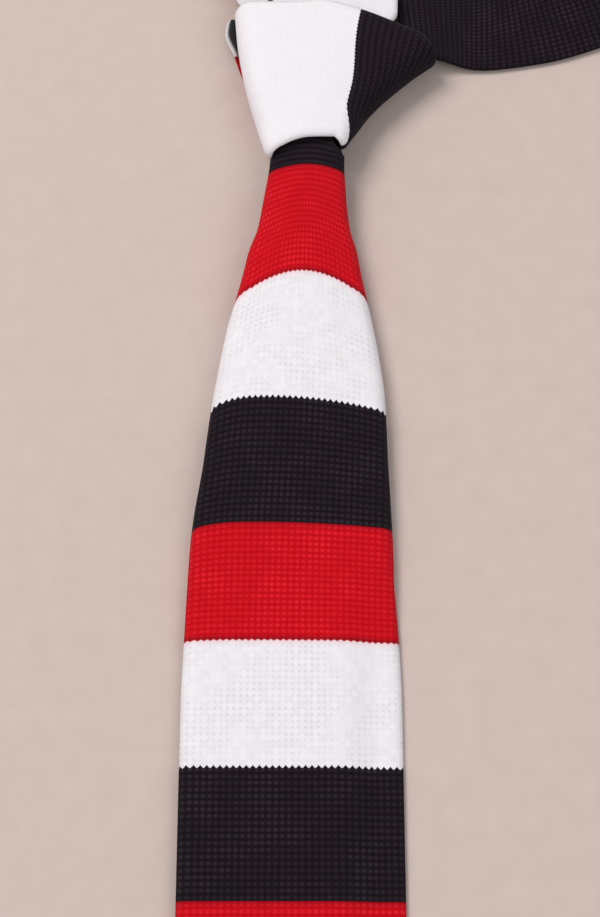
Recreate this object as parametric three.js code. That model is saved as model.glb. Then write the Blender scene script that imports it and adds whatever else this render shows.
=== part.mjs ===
// Knit tie, tied in a four-in-hand knot and lying face up on a table.
// Millimetres. X to the right, Y towards the neck, Z up. The origin is on the table, under the
// middle of the knot, on the flat strip of cloth that runs behind it.
import * as THREE from 'three';

// Driving sizes
const clothThickness = 2.4; // both walls of the flattened knitted tube
const layerGap = clothThickness / 8;
const bladeWidth = 60;
const bladeDrop = 418; // knot's lower edge to the square end
const flareLength = 162; // where the blade opens out to its full width
const tailWidth = 37;
const tailDrop = 300;
const neckWidth = 40;
const loopSpan = 175; // how far the neck loop reaches across
const knotLength = 48;
const knotWidth = 36.6; // the front wrap's upper edge, up to its diagonal fold's stripe
const backTuck = 6; // the front wrap runs on this far behind its diagonal fold
const endRamp = 24; // the blade comes down to the table over this length past the tail's end

// The layers of the knot from the table up, each the middle of one thickness of cloth
const half = clothThickness / 2;
const pitch = clothThickness + layerGap;
const layer = (n) => half + n * pitch;
const LAYER = { back: 0, behind: 1, narrow: 2, first: 3, over: 4, front: 5 };

const COLOUR = { white: 0xe9e6ea, black: 0x221f24, red: 0xc30f1b };

// Reads a column of a table at a place between its rows, along a smooth line that never overshoots
function column(table, key, value, name) {
  const xs = table.map((row) => row[key]);
  const ys = table.map((row) => row[name]);
  const last = xs.length - 1;
  const rising = xs[last] > xs[0] ? 1 : -1;
  if ((value - xs[0]) * rising <= 0) return ys[0];
  if ((value - xs[last]) * rising >= 0) return ys[last];
  let i = 0;
  while ((value - xs[i + 1]) * rising > 0) i += 1;
  const slope = (k) => (ys[k + 1] - ys[k]) / (xs[k + 1] - xs[k]);
  const tangent = (k) => {
    if (k === 0) return slope(0);
    if (k === last) return slope(last - 1);
    const [before, after] = [slope(k - 1), slope(k)];
    return before * after <= 0 ? 0 : (2 * before * after) / (before + after);
  };
  const step = xs[i + 1] - xs[i];
  const t = (value - xs[i]) / step;
  const [m0, m1] = [tangent(i) * step, tangent(i + 1) * step];
  return (
    ys[i] * (1 + 2 * t) * (1 - t) ** 2 +
    m0 * t * (1 - t) ** 2 +
    ys[i + 1] * t * t * (3 - 2 * t) +
    m1 * t * t * (t - 1)
  );
}

const mix = (a, b, t) => a + (b - a) * t;
const range = (count) => Array.from({ length: count + 1 }, (_, i) => i / count);
const point = (x, y, z) => new THREE.Vector3(x, y, z);
const between = (a, b, t) => a.clone().lerp(b, t);

function smooth(from, to, value) {
  const t = Math.min(Math.max((value - from) / (to - from), 0), 1);
  return t * t * (3 - 2 * t);
}

// A closed sheet of cloth around the rows of points that run through its middle
function sheet(name, rows, colour) {
  const count = rows.length;
  const across = rows[0].length;
  const position = [];
  const clampRow = (i) => rows[Math.min(Math.max(i, 0), count - 1)];
  const clampColumn = (j) => Math.min(Math.max(j, 0), across - 1);
  const normal = (i, j) => {
    const along = clampRow(i + 1)[j].clone().sub(clampRow(i - 1)[j]);
    const side = rows[i][clampColumn(j + 1)].clone().sub(rows[i][clampColumn(j - 1)]);
    return side.cross(along).normalize();
  };
  for (const face of [half, -half]) {
    rows.forEach((row, i) =>
      row.forEach((p, j) => position.push(...p.clone().addScaledVector(normal(i, j), face))),
    );
  }
  const under = count * across;
  const at = (i, j) => i * across + j;
  const index = [];
  const quad = (a, b, c, d) => index.push(a, b, c, a, c, d);
  for (let i = 0; i + 1 < count; i += 1) {
    for (let j = 0; j + 1 < across; j += 1) {
      const [a, b, c, d] = [at(i, j), at(i, j + 1), at(i + 1, j + 1), at(i + 1, j)];
      quad(a, b, c, d);
      quad(d + under, c + under, b + under, a + under);
    }
    quad(at(i, 0) + under, at(i, 0), at(i + 1, 0), at(i + 1, 0) + under);
    const edge = across - 1;
    quad(at(i, edge), at(i, edge) + under, at(i + 1, edge) + under, at(i + 1, edge));
  }
  for (let j = 0; j + 1 < across; j += 1) {
    quad(at(0, j) + under, at(0, j + 1) + under, at(0, j + 1), at(0, j));
    const end = count - 1;
    quad(at(end, j), at(end, j + 1), at(end, j + 1) + under, at(end, j) + under);
  }
  const geometry = new THREE.BufferGeometry();
  geometry.setAttribute('position', new THREE.Float32BufferAttribute(position, 3));
  geometry.setIndex(index);
  geometry.computeVertexNormals();
  const material = new THREE.MeshStandardMaterial({ color: colour, roughness: 0.92, metalness: 0 });
  const mesh = new THREE.Mesh(geometry, material);
  mesh.name = name;
  return mesh;
}

// The front wrap's bowed left fold line and its diagonal right fold line, from the knot's lower
// edge (0) to its upper edge (1), in shares of the knot's width and length
const LEFT_FOLD = [
  { v: 0, x: -0.273, y: -0.031 },
  { v: 0.25, x: -0.382, y: 0.227 },
  { v: 0.5, x: -0.464, y: 0.485 },
  { v: 0.75, x: -0.52, y: 0.742 },
  { v: 1, x: -0.549, y: 1 },
];
const RIGHT_FOLD = [
  { v: 0, x: 0.361, y: -0.021 },
  { v: 0.15, x: 0.448, y: 0.106 },
  { v: 0.3, x: 0.538, y: 0.232 },
  { v: 0.45, x: 0.654, y: 0.339 },
  { v: 0.6, x: 0.783, y: 0.437 },
  { v: 0.8, x: 0.969, y: 0.559 },
  { v: 1, x: 1.175, y: 0.667 },
];

function onFold(table, v) {
  return point(column(table, 'v', v, 'x') * knotWidth, column(table, 'v', v, 'y') * knotLength, 0);
}

const leftFold = (v) => onFold(LEFT_FOLD, v);
const rightFold = (v) => onFold(RIGHT_FOLD, v);
const foldDirection = rightFold(1).sub(rightFold(0)).normalize();
const foldOutward = point(foldDirection.y, -foldDirection.x, 0);
const upBehind = point(-0.298, 0.955, 0); // the way the cloth runs behind the diagonal fold

// Both folds close round all their layers above, and at the knot's lower edge round the blade alone
const edgeRadius = pitch * 1.12;
const leftRadius = (layer(LAYER.front) - layer(LAYER.behind)) / 2;
const rightRadius = (layer(LAYER.front) - layer(LAYER.back)) / 2;
const leftWholeFrom = 0.24; // shares of the fold lines from where they have their whole radius
const rightWholeFrom = 0.3;
const leftFoldRadius = (v) => mix(edgeRadius, leftRadius, smooth(0, leftWholeFrom, v));
const rightFoldRadius = (v) => mix(edgeRadius, rightRadius, smooth(0, rightWholeFrom, v));

const rightFoldAxis = (v) => rightFold(v).addScaledVector(foldOutward, -(rightFoldRadius(v) + half));

// The lower and upper edges of the front wrap bow, as shares of the knot's length
const FRONT_EDGES = [
  { across: 0, lower: 0, upper: 0 },
  { across: 0.25, lower: 0.02, upper: 0.05 },
  { across: 0.45, lower: 0.024, upper: 0.1 },
  { across: 0.65, lower: 0.014, upper: 0.078 },
  { across: 0.82, lower: -0.008, upper: 0.042 },
  { across: 1, lower: 0, upper: 0 },
];
const frontCrown = clothThickness * 0.3;

function frontPoint(across, v) {
  const start = leftFold(v).add(point(half + leftFoldRadius(v), 0, layer(LAYER.front)));
  const end = rightFoldAxis(v).setZ(layer(LAYER.front));
  const p = between(start, end, across);
  const lower = column(FRONT_EDGES, 'across', across, 'lower');
  const upper = column(FRONT_EDGES, 'across', across, 'upper');
  p.y += mix(lower, upper, v) * knotLength;
  p.z += frontCrown * Math.sin(Math.PI * across);
  return p;
}

function knotWrap() {
  const columns = range(10);
  const rows = [];
  for (const turn of range(12).slice(0, -1)) {
    rows.push(
      columns.map((v) => {
        const angle = Math.PI * turn;
        const radius = leftFoldRadius(v);
        const out = radius * Math.sin(angle);
        const axis = leftFold(v).add(point(half + radius, 0, layer(LAYER.front) - radius));
        return axis.add(point(-out, 0, -radius * Math.cos(angle)));
      }),
    );
  }
  for (const across of range(14)) rows.push(columns.map((v) => frontPoint(across, v)));
  for (const turn of range(10).slice(1)) {
    rows.push(
      columns.map((v) => {
        const angle = Math.PI * turn;
        const radius = rightFoldRadius(v);
        const axis = rightFoldAxis(v).setZ(layer(LAYER.front) - radius * (1 - Math.cos(angle)));
        return axis.addScaledVector(foldOutward, radius * Math.sin(angle));
      }),
    );
  }
  for (const run of range(5).slice(1)) {
    rows.push(
      columns.map((v) => {
        const folded = layer(LAYER.front) - 2 * rightFoldRadius(v);
        const height = mix(folded, layer(LAYER.back), smooth(0, 0.8, run));
        return rightFoldAxis(v).addScaledVector(upBehind, backTuck * run).setZ(height);
      }),
    );
  }
  return sheet('knot_wrap', rows, COLOUR.white);
}

// The first crossing lies under the blade's strip, folds back at its right and returns behind the knot
function underWrap() {
  const columns = range(6);
  const radius = (layer(LAYER.first) - layer(LAYER.behind)) / 2;
  const reach = rightRadius + half + layerGap;
  const low = 0.46;
  const high = 0.72;
  const foldAxis = (v) => rightFold(mix(low, high, v)).addScaledVector(foldOutward, -reach);
  const start = (v) => point(mix(-0.16, 0.11, v) * knotWidth, mix(0.46, 0.95, v) * knotLength, 0);
  const finishAt = (v) => {
    const w = mix(0.3, 0.93, v);
    return leftFold(w).add(point(half + leftFoldRadius(w) + 2 * layerGap, 0, 0));
  };
  const rows = [];
  for (const t of range(5).slice(0, -1)) {
    rows.push(columns.map((v) => between(start(v), foldAxis(v), t).setZ(layer(LAYER.first))));
  }
  for (const turn of range(8)) {
    rows.push(
      columns.map((v) => {
        const angle = Math.PI * turn;
        const p = foldAxis(v).addScaledVector(foldOutward, radius * Math.sin(angle));
        return p.setZ(layer(LAYER.behind) + radius * (1 + Math.cos(angle)));
      }),
    );
  }
  for (const t of range(6).slice(1)) {
    rows.push(columns.map((v) => between(foldAxis(v), finishAt(v), t).setZ(layer(LAYER.behind))));
  }
  return sheet('under_wrap', rows, COLOUR.black);
}

// The left edge of the strip behind the knot, up to its fold over the knot's top: shares of the
// knot's width and length, and of the height that it curls up from the table
const BACK_LEFT_EDGE = [
  { along: 0, x: 0.135, y: 0.175, lip: 0 },
  { along: 0.25, x: -0.28, y: 0.42, lip: 0 },
  { along: 0.45, x: -0.472, y: 0.61, lip: 0.05 },
  { along: 0.6, x: -0.55, y: 0.755, lip: 0.84 },
  { along: 0.75, x: -0.622, y: 0.9, lip: 1 },
  { along: 0.88, x: -0.597, y: 1.015, lip: 0.6 },
  { along: 1, x: -0.215, y: 1.05, lip: 0 },
];
const lipHeight = 3.2;
const lipShare = 0.1; // share of the strip's width that curls up
const topFoldLine = 1.05;
const topFoldRight = 0.809;

// The strip under the front wrap, from the top fold down to the knot's lower edge
const UNDER_FRONT = [
  { y: 1.05, left: -0.215, right: 0.809 },
  { y: 0.95, left: -0.335, right: 0.803 },
  { y: 0.83, left: -0.322, right: 0.71 },
  { y: 0.62, left: -0.27, right: 0.57 },
  { y: 0.31, left: -0.2, right: 0.345 },
  { y: 0.12, left: -0.17, right: 0.28 },
  { y: 0.02, left: -0.161, right: 0.25 },
  { y: -0.036, left: -0.169, right: 0.3 },
];

// Below the knot: places down the flare as shares of its length; edges, arch and curl as shares of
// the blade's width; the angle that the curled edges turn through in degrees, and how many layers
// of the knot they stay clear of the table
const BLADE_ROWS = [
  { down: 0.0145, left: -0.155, right: 0.232, clear: 3.667, arch: 0.01, radius: 0.05, turn: 60 },
  { down: 0.04, left: -0.16, right: 0.226, clear: 3.3, arch: 0.013, radius: 0.051, turn: 74 },
  { down: 0.099, left: -0.183, right: 0.23, clear: 2.517, arch: 0.02, radius: 0.053, turn: 105 },
  { down: 0.157, left: -0.212, right: 0.248, clear: 1.762, arch: 0.026, radius: 0.057, turn: 125 },
  { down: 0.196, left: -0.252, right: 0.278, clear: 1.231, arch: 0.03, radius: 0.06, turn: 138 },
  { down: 0.235, left: -0.276, right: 0.296, clear: 0.914, arch: 0.032, radius: 0.062, turn: 142 },
  { down: 0.284, left: -0.309, right: 0.323, clear: 0.694, arch: 0.032, radius: 0.062, turn: 145 },
  { down: 0.346, left: -0.353, right: 0.356, clear: 0.619, arch: 0.03, radius: 0.06, turn: 145 },
  { down: 0.401, left: -0.381, right: 0.381, clear: 0.589, arch: 0.027, radius: 0.058, turn: 145 },
  { down: 0.475, left: -0.413, right: 0.403, clear: 0.642, arch: 0.022, radius: 0.055, turn: 140 },
  { down: 0.605, left: -0.459, right: 0.416, clear: 0.583, arch: 0.014, radius: 0.051, turn: 130 },
  { down: 0.698, left: -0.495, right: 0.425, clear: 0.600, arch: 0.008, radius: 0.049, turn: 118 },
  { down: 0.802, left: -0.521, right: 0.438, clear: 0.615, arch: 0.003, radius: 0.048, turn: 100 },
  { down: 0.901, left: -0.538, right: 0.448, clear: 0.615, arch: 0, radius: 0.048, turn: 88 },
  { down: 1, left: -0.547, right: 0.453, clear: 0.626, arch: 0, radius: 0.047, turn: 80 },
];
const lieFrom = 0.7; // share of the flare where the blade starts to lie over the tail
const leftTurn = 75; // degrees that the left edge drops through where the blade lies flat
const tailRightSlope = 11; // how far the blade takes to come down beside the tail

function bladeSection(y, v) {
  const down = -y / flareLength;
  const at = (name) => column(BLADE_ROWS, 'down', down, name);
  const left = at('left') * bladeWidth;
  const right = at('right') * bladeWidth;
  const angle = THREE.MathUtils.degToRad(at('turn'));
  const radius = at('radius') * bladeWidth;
  const side = Math.sin(Math.min(angle, Math.PI / 2));
  const flat = (right - left) / 2 - (radius + half) * side;
  const total = flat + radius * angle;
  const middle = (left + right) / 2;
  const s = mix(-total, total, v);
  const beyond = Math.max(Math.abs(s) - flat, 0) / radius;
  const inside = Math.min(Math.abs(s), flat);
  const arch = at('arch') * bladeWidth;
  const crown = at('clear') * pitch + arch + radius * (1 - Math.cos(angle));
  const x = middle + Math.sign(s) * (inside + radius * Math.sin(beyond));
  const z = crown - arch * (inside / flat) ** 2 - radius * (1 - Math.cos(beyond));
  const curled = point(x, y, z);
  const share = smooth(lieFrom, 1, down);
  return share > 0 ? between(curled, lyingSection(y, v, left, right), share) : curled;
}

// Where the blade lies flat: over the tail, steeply down at its left and gently at its right
function lyingSection(y, v, left, right) {
  const low = half;
  const lift = pitch * smooth(tailDrop + endRamp, tailDrop + endRamp / 8, -y);
  const angle = THREE.MathUtils.degToRad(leftTurn);
  const radius = pitch / (1 - Math.cos(angle));
  const turnStart = left + half * Math.sin(angle) + radius * Math.sin(angle);
  const total = right - turnStart + radius * angle;
  const s = v * total;
  const arc = radius * angle;
  if (s < arc) {
    const turned = angle - s / radius;
    const x = turnStart - radius * Math.sin(turned);
    return point(x, y, low + lift * (1 - (1 - Math.cos(turned)) / (1 - Math.cos(angle))));
  }
  const x = turnStart + s - arc;
  const tailEdge = tailCentre(y) + tailWidth / 2 + half;
  return point(x, y, low + lift * (1 - smooth(tailEdge, tailEdge + tailRightSlope, x)));
}

function frontBlade() {
  const columns = range(16);
  const rows = [];
  const radius = (layer(LAYER.over) - layer(LAYER.back)) / 2;
  const foldAt = topFoldLine * knotLength;
  const startAt = (v) => rightFoldAxis(v).addScaledVector(upBehind, backTuck + 2 * layerGap);
  const backRight = (t) => between(startAt(1), point(topFoldRight * knotWidth, foldAt, 0), t);
  for (const t of range(9)) {
    const edge = (name) => column(BACK_LEFT_EDGE, 'along', t, name);
    const left = point(edge('x') * knotWidth, edge('y') * knotLength, 0);
    const line = t === 0 ? [startAt(0), startAt(1)] : [left, backRight(t)];
    const lip = lipHeight * edge('lip');
    rows.push(
      columns.map((v) => {
        const bow = startAt(v).sub(between(startAt(0), startAt(1), v));
        const p = between(line[0], line[1], v).addScaledVector(bow, 1 - smooth(0, 0.7, t));
        return p.setZ(layer(LAYER.back) + lip * smooth(lipShare, 0, v));
      }),
    );
  }
  const under = (y, v) =>
    point(
      mix(column(UNDER_FRONT, 'y', y, 'left'), column(UNDER_FRONT, 'y', y, 'right'), v) * knotWidth,
      y * knotLength,
      layer(LAYER.over),
    );
  for (const turn of range(8).slice(1, -1)) {
    rows.push(
      columns.map((v) => {
        const angle = Math.PI * turn;
        const p = under(topFoldLine, v);
        p.y += radius * Math.sin(angle);
        p.z = layer(LAYER.back) + radius * (1 - Math.cos(angle));
        return p;
      }),
    );
  }
  for (const t of range(9)) {
    const y = mix(topFoldLine, UNDER_FRONT[UNDER_FRONT.length - 1].y, t);
    rows.push(columns.map((v) => under(y, v)));
  }
  const stops = [
    ...BLADE_ROWS.map((row) => row.down * flareLength),
    ...range(8).slice(1).map((t) => mix(flareLength, tailDrop, t)),
    ...range(5).slice(1).map((t) => tailDrop + endRamp * t),
    ...range(5).slice(1).map((t) => mix(tailDrop + endRamp, bladeDrop, t)),
  ];
  for (const stop of stops) rows.push(columns.map((v) => bladeSection(-stop, v)));
  return sheet('front_blade', rows, COLOUR.red);
}

// The tail inside and below the knot: places as shares of the flare's length and widths of its own
// width; knot is its shift inside the knot as a share of the knot's width, and side its place
// between the blade's two curled edges, from the left (-1) to the right (1)
const TAIL_ROWS = [
  { down: -0.17, knot: 0.209, side: -0.19, width: 0.36 },
  { down: -0.14, knot: 0.14, side: -0.19, width: 0.34 },
  { down: -0.09, knot: 0.03, side: -0.19, width: 0.325 },
  { down: 0, knot: -0.01, side: -0.19, width: 0.325 },
  { down: 0.1, knot: 0, side: -0.38, width: 0.38 },
  { down: 0.235, knot: 0, side: -0.545, width: 0.6 },
  { down: 0.345, knot: 0, side: -0.537, width: 0.76 },
  { down: 0.475, knot: 0, side: -0.629, width: 0.9 },
  { down: 0.698, knot: 0, side: -0.88, width: 0.985 },
  { down: 0.9, knot: 0, side: -0.88, width: 1 },
];
const tailFallFrom = -0.056; // shares of the flare's length between which the tail comes down
const tailFallTo = 0.099;
const bladeWall = clothThickness * 1.5; // room that each curled edge takes

function tailCentre(y) {
  const down = -y / flareLength;
  const [left, right] = ['left', 'right'].map((name) => column(BLADE_ROWS, 'down', down, name));
  const at = (name) => column(TAIL_ROWS, 'down', down, name);
  const room = ((right - left) * bladeWidth - at('width') * tailWidth) / 2 - bladeWall;
  return ((left + right) / 2) * bladeWidth + at('knot') * knotWidth + at('side') * room;
}

function tail() {
  const columns = range(6);
  const stops = [
    ...range(14).map((t) => mix(-0.17, 0.24, t) * flareLength),
    ...range(6).slice(1).map((t) => mix(0.24, 0.9, t) * flareLength),
    ...range(6).slice(1).map((t) => mix(0.9 * flareLength, tailDrop, t)),
  ];
  const rows = stops.map((stop) => {
    const width = column(TAIL_ROWS, 'down', stop / flareLength, 'width') * tailWidth;
    const fallen = smooth(tailFallFrom, tailFallTo, stop / flareLength);
    const height = mix(layer(LAYER.narrow), half, fallen);
    return columns.map((v) => point(tailCentre(-stop) + (v - 0.5) * width, -stop, height));
  });
  return sheet('tail', rows, COLOUR.red);
}

// The neck loop's outer edge goes round from inside the knot's right to its left: places are shares of
// the loop's span, width is of the band's width, bank is in degrees, height counts layers of the knot
const LOOP_ROWS = [
  { at: 0, x: 0.083, y: 0.135, width: 0.36, face: 226, bank: 0, height: 2 },
  { at: 1, x: 0.131, y: 0.17, width: 0.4, face: 238, bank: 0, height: 2 },
  { at: 2, x: 0.185, y: 0.199, width: 0.62, face: 275, bank: 0, height: 2 },
  { at: 3, x: 0.241, y: 0.2, width: 0.75, face: 272, bank: 0, height: 1.7 },
  { at: 4, x: 0.314, y: 0.186, width: 0.92, face: 268, bank: 2, height: 0.1 },
  { at: 5, x: 0.42, y: 0.2, width: 1, face: 280, bank: 10, height: 0 },
  { at: 6, x: 0.527, y: 0.233, width: 1, face: 292, bank: 24, height: 0 },
  { at: 7, x: 0.657, y: 0.303, width: 1, face: 306, bank: 42, height: 0 },
  { at: 8, x: 0.771, y: 0.429, width: 1, face: 328, bank: 54, height: 0 },
  { at: 9, x: 0.829, y: 0.6, width: 1, face: 354, bank: 60, height: 0 },
  { at: 10, x: 0.789, y: 0.789, width: 1, face: 384, bank: 62, height: 0 },
  { at: 11, x: 0.66, y: 0.943, width: 1, face: 410, bank: 62, height: 0 },
  { at: 12, x: 0.469, y: 1.023, width: 1, face: 440, bank: 62, height: 0 },
  { at: 13, x: 0.257, y: 1.006, width: 1, face: 466, bank: 62, height: 0 },
  { at: 14, x: 0.074, y: 0.909, width: 1, face: 488, bank: 60, height: 0 },
  { at: 15, x: -0.069, y: 0.76, width: 1, face: 508, bank: 54, height: 0 },
  { at: 16, x: -0.146, y: 0.58, width: 0.95, face: 530, bank: 36, height: 0 },
  { at: 17, x: -0.149, y: 0.44, width: 0.74, face: 543, bank: 14, height: 0.3 },
  { at: 18, x: -0.131, y: 0.36, width: 0.46, face: 546, bank: 0, height: 1.8 },
  { at: 19, x: -0.113, y: 0.303, width: 0.22, face: 548, bank: 0, height: 3 },
  { at: 20, x: -0.082, y: 0.255, width: 0.23, face: 555, bank: 0, height: 3 },
  { at: 21, x: -0.056, y: 0.2, width: 0.45, face: 580, bank: 0, height: 3 },
];

function neckLoop() {
  const columns = range(6);
  const last = LOOP_ROWS.length - 1;
  const rows = range(last * 2).map((t) => {
    const at = (name) => column(LOOP_ROWS, 'at', t * last, name);
    const face = THREE.MathUtils.degToRad(at('face'));
    const bank = THREE.MathUtils.degToRad(at('bank'));
    const width = at('width') * neckWidth;
    const inward = point(-Math.cos(face) * Math.cos(bank), -Math.sin(face) * Math.cos(bank), Math.sin(bank));
    const edge = point(at('x') * loopSpan, at('y') * loopSpan, 0);
    edge.z = half * Math.cos(bank) + at('height') * pitch;
    return columns.map((v) => edge.clone().addScaledVector(inward, v * width));
  });
  return sheet('neck_loop', rows, COLOUR.black);
}

const tie = new THREE.Group();
tie.add(frontBlade(), knotWrap(), underWrap(), tail(), neckLoop());
tie.position.y = -knotLength / 2; // the pieces are drawn from the knot's lower edge

export default tie;
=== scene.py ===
import math

import bpy
import numpy as np
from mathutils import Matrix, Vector


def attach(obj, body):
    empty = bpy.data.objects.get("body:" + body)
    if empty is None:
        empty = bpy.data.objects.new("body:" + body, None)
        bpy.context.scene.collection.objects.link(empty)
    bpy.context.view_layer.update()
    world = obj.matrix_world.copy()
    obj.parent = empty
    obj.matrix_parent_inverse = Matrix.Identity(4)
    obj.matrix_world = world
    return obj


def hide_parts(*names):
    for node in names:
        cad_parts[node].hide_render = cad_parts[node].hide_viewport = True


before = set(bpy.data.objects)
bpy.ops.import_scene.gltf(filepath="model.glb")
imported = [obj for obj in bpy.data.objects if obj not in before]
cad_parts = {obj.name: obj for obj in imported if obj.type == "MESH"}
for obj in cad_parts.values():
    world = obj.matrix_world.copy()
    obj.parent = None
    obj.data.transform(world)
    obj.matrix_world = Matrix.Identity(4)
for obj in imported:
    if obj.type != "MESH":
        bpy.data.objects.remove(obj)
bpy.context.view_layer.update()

# Sizes of the tie in millimetres, drawn from the knot's lower edge, as the solids are
CLOTH = 2.4
LAYER_GAP = CLOTH / 8
BLADE_WIDTH = 60
BLADE_DROP = 418
FLARE_LENGTH = 162
TAIL_WIDTH = 37
TAIL_DROP = 300
NECK_WIDTH = 40
LOOP_SPAN = 175
KNOT_LENGTH = 48
KNOT_WIDTH = 36.6
BACK_TUCK = 6
END_RAMP = 24
ORIGIN_UP = KNOT_LENGTH / 2

# The knit: stitches run along the cloth in courses and across it in wales
COURSE = 1.7
STRIPE = 20
BLADE_WALES = 35
TAIL_WALES = 24
NECK_WALES = 28
PLAIN_BELOW = -600  # courses under this number are the plain neck band

# How high the stitches stand, how round their backs are, and how evenly they are made
STITCH_RELIEF = 0.34
RELIEF_INSIDE = 0.6  # the share of a stitch's height that lies within the cloth's thickness
BACK_ROUNDNESS = 0.9
UNEVENNESS = 0.18
UNEVEN_WALES = 12.9898
UNEVEN_COURSES = 78.233
SIDE_ROUNDING = 0.94
END_ROUNDING = 0.8

# Points to a stitch on each piece
BLADE_DETAIL = 3
FOLD_DETAIL = 2
WRAP_DETAIL = 4
CROSSING_DETAIL = 1
TAIL_DETAIL = 2
NECK_DETAIL = 2

HALF = CLOTH / 2
PITCH = CLOTH + LAYER_GAP
TINY = 1e-9
MILLIMETRES = 1000  # in a metre

# Heights of the knot's six layers, from the lowest to the front
BACK, BEHIND, NARROW, FIRST, OVER, FRONT = (HALF + n * PITCH for n in range(6))


def table(names, *rows):
    """A short table with named columns."""
    return dict(zip(names.split(), np.array(rows, float).T))


def column(rows, key, name, value):
    """A column of a table read between its rows, along a smooth line that never overshoots."""
    xs, ys = rows[key], rows[name]
    if xs[-1] < xs[0]:
        xs, ys = xs[::-1], ys[::-1]
    slope = np.diff(ys) / np.diff(xs)
    before, after = slope[:-1], slope[1:]
    level = before * after <= 0
    inner = np.where(level, 0, 2 * before * after / np.where(level, 1, before + after))
    tangent = np.concatenate([slope[:1], inner, slope[-1:]])
    value = np.clip(value, xs[0], xs[-1])
    i = np.clip(np.searchsorted(xs, value, side="right") - 1, 0, len(xs) - 2)
    step = xs[i + 1] - xs[i]
    t = (value - xs[i]) / step
    return (
        ys[i] * (1 + 2 * t) * (1 - t) ** 2
        + tangent[i] * step * t * (1 - t) ** 2
        + ys[i + 1] * t * t * (3 - 2 * t)
        + tangent[i + 1] * step * t * t * (t - 1)
    )


def mix(a, b, t):
    return a + (b - a) * t


def smooth(start, end, value):
    """A soft step from 0 at start to 1 at end; start may be the larger of the two."""
    t = np.clip((value - start) / (end - start), 0, 1)
    return t * t * (3 - 2 * t)


def points(x, y, z):
    """Points from their coordinates, each of which may be one number or an array."""
    return np.stack(np.broadcast_arrays(x, y, z), axis=-1).astype(float)


# The knot's two fold lines, from its lower edge to its upper edge
LEFT_FOLD = table(
    "v x y",
    (0, -0.273, -0.031),
    (0.25, -0.382, 0.227),
    (0.5, -0.464, 0.485),
    (0.75, -0.52, 0.742),
    (1, -0.549, 1),
)
RIGHT_FOLD = table(
    "v x y",
    (0, 0.361, -0.021),
    (0.15, 0.448, 0.106),
    (0.3, 0.538, 0.232),
    (0.45, 0.654, 0.339),
    (0.6, 0.783, 0.437),
    (0.8, 0.962, 0.558),
    (1, 1.148, 0.667),
)


def on_fold(rows, v):
    """Places on a fold line, v from 0 at the knot's lower edge to 1 at its upper edge."""
    x, y = (column(rows, "v", name, v) for name in "xy")
    return points(x * KNOT_WIDTH, y * KNOT_LENGTH, 0)


def left_fold(v):
    return on_fold(LEFT_FOLD, v)


def right_fold(v):
    return on_fold(RIGHT_FOLD, v)


# Directions: along and out of the diagonal fold, up the strip behind the knot, and off the floor
FOLD_LINE = right_fold(np.array(1.0)) - right_fold(np.array(0.0))
FOLD_LINE /= np.linalg.norm(FOLD_LINE)
FOLD_OUT = np.array([FOLD_LINE[1], -FOLD_LINE[0], 0])
UP_BEHIND = np.array([-0.298, 0.955, 0])
LIFT = np.array([0, 0, 1.0])

# Both folds bend tighter at the knot's lower edge, and have their whole radius from a share of
# the way up
EDGE_RADIUS = PITCH * 1.12
LEFT_RADIUS = (FRONT - BEHIND) / 2
RIGHT_RADIUS = (FRONT - BACK) / 2
LEFT_WHOLE_FROM = 0.24
RIGHT_WHOLE_FROM = 0.3


def right_radius(v):
    return mix(EDGE_RADIUS, RIGHT_RADIUS, smooth(0, RIGHT_WHOLE_FROM, v))


def right_axis(v):
    return right_fold(v) - (right_radius(v) + HALF)[..., None] * FOLD_OUT


def left_radius(v):
    return mix(EDGE_RADIUS, LEFT_RADIUS, smooth(0, LEFT_WHOLE_FROM, v))


# How the lower and upper edges of the knot's front bow, and how far it stands up in its middle
FRONT_EDGES = table(
    "across lower upper",
    (0, 0, 0),
    (0.25, 0.02, 0.05),
    (0.45, 0.024, 0.1),
    (0.65, 0.016, 0.078),
    (0.82, 0.008, 0.042),
    (1, 0, 0),
)
FRONT_CROWN = CLOTH * 0.3

# The wrap's lower left corner hangs down over this share of the wrap's width
CORNER_DROP = 2.0
CORNER_SHARE = 0.25

# The strip behind the knot has a raised left edge, or lip, over a share of its width
BACK_LEFT_EDGE = table(
    "along x y lip",
    (0, 0.135, 0.175, 0),
    (0.25, -0.28, 0.42, 0),
    (0.45, -0.472, 0.61, 0.05),
    (0.6, -0.55, 0.755, 0.84),
    (0.75, -0.622, 0.9, 1),
    (0.88, -0.597, 1.015, 0.6),
    (1, -0.215, 1.05, 0),
)
TOP_FOLD_LINE = 1.05
TOP_FOLD_RIGHT = 0.809
LIP_HEIGHT = 3.2
LIP_SHARE = 0.1
FREE_FROM = 0.11  # the share of its way from which the strip lies between its own edges
STRAIGHT_FROM = 0.7  # the share from which its rows lie straight across it
TUCKED_AT = 8.3  # the height at which it ends inside the knot

# The strip's stripes: which course lies how far up behind the knot, and the last course
COURSE_BEHIND = 20
RISE_BEHIND = 40
LAST_FOLD_COURSE = 54

# The hollow beside the lip is painted dark with shade: its edges across the strip, and where it opens
# and closes along it
PAINTED_SHADE_ACROSS = (0.001, 0.009)
PAINTED_SHADE_OPENS = (0.25, 0.45)
PAINTED_SHADE_CLOSES = (1, 0.95)
PAINTED_SHADE_DARKNESS = 0.96

# Rows of points on the strip: behind the knot, over its top and down under the wrap
BACK_ROWS = 60
OVER_ROWS = 22
DOWN_ROWS = 50

# Rows of points on the outer turn: round the left fold, across the front, round the diagonal fold
# and on behind, where it has sunk to the lowest layer at a share of its way
LEFT_ROWS = 60
FRONT_ROWS = 150
RIGHT_ROWS = 76
BEHIND_ROWS = 16
SUNK_AT = 0.8
WRAP_DEPTH = 0.6  # its cloth is pulled tight, so its stitches stand lower than the others

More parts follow.
